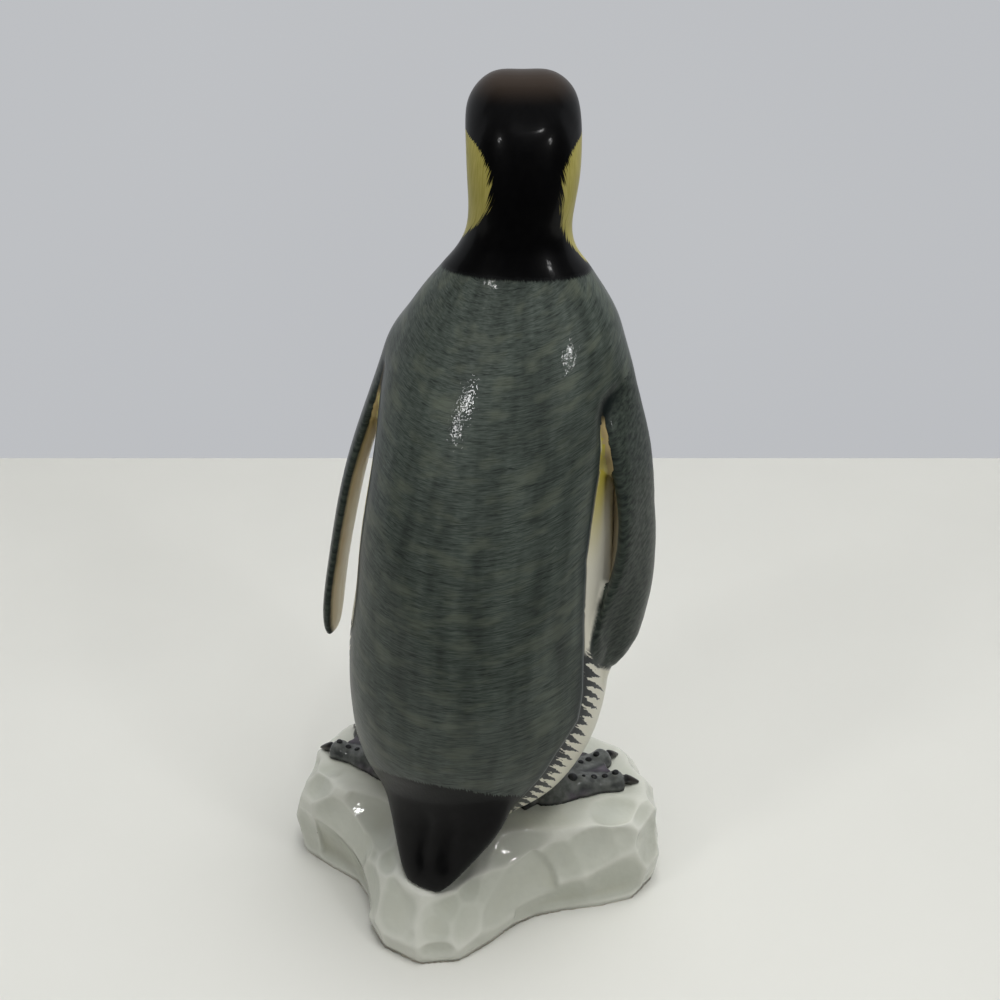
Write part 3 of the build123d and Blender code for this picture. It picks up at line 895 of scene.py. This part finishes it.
# Grey wash under gloss glaze: toes mid grey and mottled, webs a purplish grey, the sole edged in black,
# and the claws horn coloured. Painted shade darkens the grooves between toes, the knuckle lines and the
# web folds, and the heel is dark too.
foot_paint, tree, place = new_paint("grey_wash_underglaze_on_feet")
mottle = add(tree, "ShaderNodeTexNoise", {"Vector": place, "Scale": 380.0, "Detail": 3.0})
web_colour = wash(tree, "4C474D", ("665F69", mottle, 0.35, 0.65))
painted = wash(
    tree, "484B49", ("6C6F6C", mottle, 0.35, 0.65), (web_colour, "web"), ("26272B", "crease_shade_and_heel"),
    ("141516", "sole", 1.3, 0.5, 0.9), ("1A1A1B", "claw", -0.8, 0.2), ("2C2926", "claw", 0.8, 1.8),
)
glazed(tree, place, painted, 0.36, 0.6, 0.1, 0.02)


def toe_ways(forward):
    """Direction of each toe, seen from above."""
    return np.array([(
        forward[0] * math.cos(toe_turn) - forward[1] * math.sin(toe_turn),
        forward[0] * math.sin(toe_turn) + forward[1] * math.cos(toe_turn),
    ) for toe_turn in np.radians(toe_turns)])


foot_meshes = {}
for node, (ankle, forward) in feet.items():
    points, faces = fine_skin([node], foot_grain)
    foot_links = quad_links(faces)
    points = soften(points, foot_links, 1.0, 4)
    flat = points[:, :2] / mm - np.array(ankle)
    ways = toe_ways(forward)
    along = flat @ ways.T
    aside_toe = np.abs(flat @ np.stack([-ways[:, 1], ways[:, 0]]))
    nearest = np.argmin(np.where(along > 0, aside_toe, 99), axis=1)
    rows = np.arange(len(points))
    toe_along, toe_gap = along[rows, nearest], aside_toe[rows, nearest]
    toe_end = np.array(toe_reaches)[nearest]
    facing_up = point_normals(points, faces)[:, 2]
    on_toe = fade(toe_gap, toe_half_width - 0.3, toe_half_width + 0.5)
    groove = np.exp(-((toe_gap - toe_half_width) / groove_width) ** 2)
    groove = groove * ease(toe_along, 9, 13) * ease(facing_up, 0.0, 0.4)
    knuckle = (0.5 - 0.5 * np.cos(2 * math.pi * (toe_along - 9.8) / knuckle_step)) * on_toe
    knuckle *= ease(toe_along, 7, 9) * ease(toe_end - toe_along, 0.5, 2) * ease(facing_up, -0.1, 0.3)
    fan = np.degrees(np.arctan2(flat @ np.array([-forward[1], forward[0]]), flat @ np.array(forward)))
    fold = (0.5 - 0.5 * np.cos(2 * math.pi * fan / web_folds)) * (1 - on_toe) * ease(toe_along, 9, 14)
    nail = np.exp(-((toe_along - toe_end) / 0.5) ** 2) * on_toe
    sunk = groove_depth * groove + knuckle_depth * knuckle
    sunk = sunk + fold_depth * fold * ease(facing_up, 0.2, 0.6) + nail_depth * nail
    points = pushed(points, faces, -sunk)
    points = soften(points, foot_links, 1.0, 2)
    points[:, 2] = np.maximum(points[:, 2], foot_level * mm)
    # Painted shade in the toe grooves, knuckle lines and web folds, and a dark heel
    crease_shade_and_heel = np.clip(groove * 0.6 + knuckle * 0.12 + fold * 0.25 + fade(toe_along, -5, -3) * 0.8, 0, 1)
    foot_meshes[node] = BVHTree.FromPolygons([Vector(point) for point in points], faces.tolist())
    finished_piece("glazed_" + node, points, faces.tolist(), {
        "web": (1 - on_toe) * ease(toe_along, 6, 9), "crease_shade_and_heel": crease_shade_and_heel,
        "sole": up(points) - foot_level, "claw": np.where(on_toe > 0.2, toe_along - toe_end, -9.0),
    }, node, foot_paint)


# SCUTES
# A row of raised horny plates runs down the top of each toe. They are drops of slip set with a brush,
# painted near black, and glazed over with the foot.
scute_row = (9.8, 23.2)
scute_row_steps = 28
scute_sizes = ((9.8, 1.45), (13.1, 0.6), (16.4, 0.95), (23.2, 1.05))

# Black slip under gloss glaze: small wet black beads, a little paler in cloudy patches
scute_paint, tree, place = new_paint("black_slip_dots_under_gloss_glaze")
cloud = add(tree, "ShaderNodeTexNoise", {"Vector": place, "Scale": 900.0})
glazed(tree, place, wash(tree, "151617", ("2B2D30", cloud, 0.35, 0.7)), 0.3, 0.7, 0.08, 0.003)

scutes = bpy.data.node_groups.new("row_of_scutes", "GeometryNodeTree")
scute_inputs = {
    "Rows": ("NodeSocketGeometry", None), "Spacing": ("NodeSocketFloat", 3.3 * mm),
    "Length": ("NodeSocketFloat", 2.1 * mm), "Width": ("NodeSocketFloat", 1.9 * mm),
    "Height": ("NodeSocketFloat", 1.5 * mm), "Seed": ("NodeSocketInt", 4),
    "Glaze": ("NodeSocketMaterial", scute_paint),
}
for name, (kind, value) in scute_inputs.items():
    scutes.interface.new_socket(name, in_out="INPUT", socket_type=kind)
scutes.interface.new_socket("Scutes", in_out="OUTPUT", socket_type="NodeSocketGeometry")
given = add(scutes, "NodeGroupInput").node.outputs
rows_as_curves = add(scutes, "GeometryNodeMeshToCurve", {"Mesh": given["Rows"]})
spaced = add(scutes, "GeometryNodeResampleCurve", {
    "Curve": rows_as_curves, "Length": given["Spacing"],
}, mode="LENGTH")
drop = add(scutes, "GeometryNodeMeshUVSphere", {"Segments": 14, "Rings": 9, "Radius": 0.5})
drop_size = add(scutes, "ShaderNodeCombineXYZ", {
    0: given["Length"], 1: given["Width"], 2: given["Height"],
})
drop = add(scutes, "GeometryNodeTransform", {"Geometry": drop, "Scale": drop_size})
stored = "GeometryNodeInputNamedAttribute"
upward = add(scutes, stored, {"Name": "upward"}, "Attribute", data_type="FLOAT_VECTOR")
size = add(scutes, stored, {"Name": "size"}, "Attribute", data_type="FLOAT")
tangent = add(scutes, "GeometryNodeInputTangent")
turn_to = "FunctionNodeAlignRotationToVector"
lie_along = add(scutes, turn_to, {"Vector": tangent}, axis="X")
stand_up = add(scutes, turn_to, {"Rotation": lie_along, "Vector": upward}, axis="Z")
uneven = add(scutes, "FunctionNodeRandomValue", {
    2: 0.88, 3: 1.1, "Seed": given["Seed"],
}, 1, data_type="FLOAT")
drop_scale = add(scutes, "ShaderNodeMath", {0: size, 1: uneven}, operation="MULTIPLY")
placed = add(scutes, "GeometryNodeInstanceOnPoints", {
    "Points": spaced, "Instance": drop, "Rotation": stand_up, "Scale": drop_scale,
})
real = add(scutes, "GeometryNodeRealizeInstances", {"Geometry": placed})
smooth = add(scutes, "GeometryNodeSetShadeSmooth", {"Geometry": real})
painted = add(scutes, "GeometryNodeSetMaterial", {"Geometry": smooth, "Material": given["Glaze"]})
add(scutes, "NodeGroupOutput", {"Scutes": painted})

for node, (ankle, forward) in feet.items():
    stations, upwards, sizes, edges = [], [], [], []
    for way in toe_ways(forward):
        for along_toe in np.linspace(*scute_row, scute_row_steps):
            above = Vector((*ankle, foot_level + 20)) + Vector((*way, 0)) * along_toe
            spot, facing, _, _ = foot_meshes[node].ray_cast(above * mm, Vector((0, 0, -1)))
            if len(stations) % scute_row_steps:
                edges.append((len(stations) - 1, len(stations)))
            stations.append(spot)
            upwards.append(facing)
            sizes.append(np.interp(along_toe, *zip(*scute_sizes)))
    row_fields = {"upward": np.array(upwards), "size": np.array(sizes)}
    holder = new_object("scute_rows", field_mesh("scute_rows", stations, [], row_fields, edges))
    modifier = holder.modifiers.new("row_of_scutes", "NODES")
    modifier.node_group = scutes
    for item in scutes.interface.items_tree:
        if item.in_out == "INPUT" and scute_inputs[item.name][1] is not None:
            modifier[item.identifier] = scute_inputs[item.name][1]
    piece = new_object(node + "_scutes", shaped(holder))
    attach(piece, "root")


# CAMERA, TABLE, WALL AND LIGHT
# The stage is a white table in front of a lavender grey wall. A wide ceiling panel that the glaze
# doesn't mirror lights it evenly. A window and two clusters of bulbs give the glaze its sparks.
camera_forward = Vector((0.31245, -0.85845, -0.40674))
camera_data = bpy.data.cameras.new("camera")
camera_data.lens = 46.8
camera_data.sensor_width = 36.0
camera_data.clip_start = 0.01
camera = new_object("camera", camera_data)
camera.location = (-0.119673, 0.308677, 0.269578)
camera.rotation_euler = camera_forward.to_track_quat("-Z", "Y").to_euler()
bpy.context.scene.camera = camera

heading = Vector((camera_forward.x, camera_forward.y, 0)).normalized()
beside = Vector((-heading.y, heading.x, 0))
camera_foot = Vector((camera.location.x, camera.location.y, 0))
table_near, table_far, table_reach = 0.11, 0.662, 2.0
wall_far, wall_reach, wall_low, wall_high = table_far + 0.25, 2.5, -1.0, 2.0


def staged(name, corners, material):
    """Flat part of the stage, with its corners ahead of the camera, aside and up."""
    mesh = field_mesh(name, [
        camera_foot + heading * far + beside * side + Vector((0, 0, rise)) for far, side, rise in corners
    ], [(0, 1, 2, 3)], {})
    mesh.materials.append(material)
    holder = new_object(name, mesh)
    holder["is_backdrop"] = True


# White laminate: faint cloudy unevenness and a dull sheen
table_paint, tree, place = new_paint("white_laminate_table_top")
cloud = add(tree, "ShaderNodeTexNoise", {"Vector": place, "Scale": 9.0, "Detail": 3.0})
colour = wash(tree, "D3D3CD", ("DADAD4", cloud))
add(tree, "ShaderNodeOutputMaterial", {
    "Surface": add(tree, "ShaderNodeBsdfPrincipled", {"Base Color": colour, "Roughness": 0.6}),
})
staged("table", (
    (table_far, table_reach, 0), (table_near, table_reach, 0),
    (table_near, -table_reach, 0), (table_far, -table_reach, 0),
), table_paint)

# Matt emulsion on the wall, which the camera and the glaze see evenly lit
wall_paint, tree, place = new_paint("lavender_grey_matt_wall")
cloud = add(tree, "ShaderNodeTexNoise", {"Vector": place, "Scale": 3.0, "Detail": 1.0})
colour = wash(tree, "BABCC0", ("C0C2C5", cloud))
matt = add(tree, "ShaderNodeBsdfPrincipled", {"Base Color": colour, "Roughness": 0.9})
even = add(tree, "ShaderNodeEmission", {"Color": colour, "Strength": 1.0})
ray = add(tree, "ShaderNodeLightPath").node
seen = ray.outputs["Is Camera Ray"]
for kind in ("Is Glossy Ray", "Is Transmission Ray"):
    seen = add(tree, "ShaderNodeMath", {0: seen, 1: ray.outputs[kind]}, operation="MAXIMUM")
shown = add(tree, "ShaderNodeMixShader", {0: seen, 1: matt, 2: even})
add(tree, "ShaderNodeOutputMaterial", {"Surface": shown})
staged("wall", (
    (wall_far, wall_reach, wall_low), (wall_far, -wall_reach, wall_low),
    (wall_far, -wall_reach, wall_high), (wall_far, wall_reach, wall_high),
), wall_paint)

# The room is dim towards the floor and grows lighter overhead
world = bpy.data.worlds.new("room")
bpy.context.scene.world = world
world.use_nodes = True
tree = world.node_tree
tree.nodes.clear()
way = add(tree, "ShaderNodeTexCoord", out="Generated")
upward = add(tree, "ShaderNodeSeparateXYZ", {0: way}, "Z")
brightness = add(tree, "ShaderNodeMapRange", {
    0: upward, 3: 0.05, 4: 0.22,
}, interpolation_type="SMOOTHSTEP")
add(tree, "ShaderNodeOutputWorld", {
    "Surface": add(tree, "ShaderNodeBackground", {"Color": "FFFEFC", "Strength": brightness}),
})

# Name, place, width, length, power in W, and whether the glaze mirrors it
lamps = [
    ("ceiling_panel", (-0.3, -0.05, 2.2), 1.4, 1.4, 38.0, False),
    ("window", (-0.40, 0.50, 1.35), 0.10, 0.08, 1.5, True),
]
lamp_aim = Vector((0, 0, 0.15))
bulb_size, bulb_power = 0.035, 0.27
bulb_middles = {"left_bulb": (0.36, 0.71, 0.73), "right_bulb": (-0.75, 0.38, 0.74)}
bulb_spots = (
    (-0.08, -0.03, 0.0), (-0.03, 0.02, 0.06), (0.0, 0.0, -0.07), (0.03, -0.02, 0.02), (0.08, 0.03, -0.02),
)
for name, middle in bulb_middles.items():
    for number, spot in enumerate(bulb_spots):
        place = tuple(np.array(middle) + spot)
        lamps.append((f"{name}_{number}", place, bulb_size, bulb_size, bulb_power, True))
for name, place, width, length, power, mirrored in lamps:
    data = bpy.data.lights.new(name, "AREA")
    data.shape = "RECTANGLE"
    data.size = width
    data.size_y = length
    data.energy = power
    lamp = new_object(name, data)
    lamp.location = place
    lamp.rotation_euler = (lamp_aim - Vector(place)).to_track_quat("-Z", "Y").to_euler()
    lamp.visible_glossy = mirrored
bpy.context.scene.view_settings.view_transform = "Standard"

size = {"cad": [list(corner) for corner in cad_box], "visual": [list(corner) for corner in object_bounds()]}
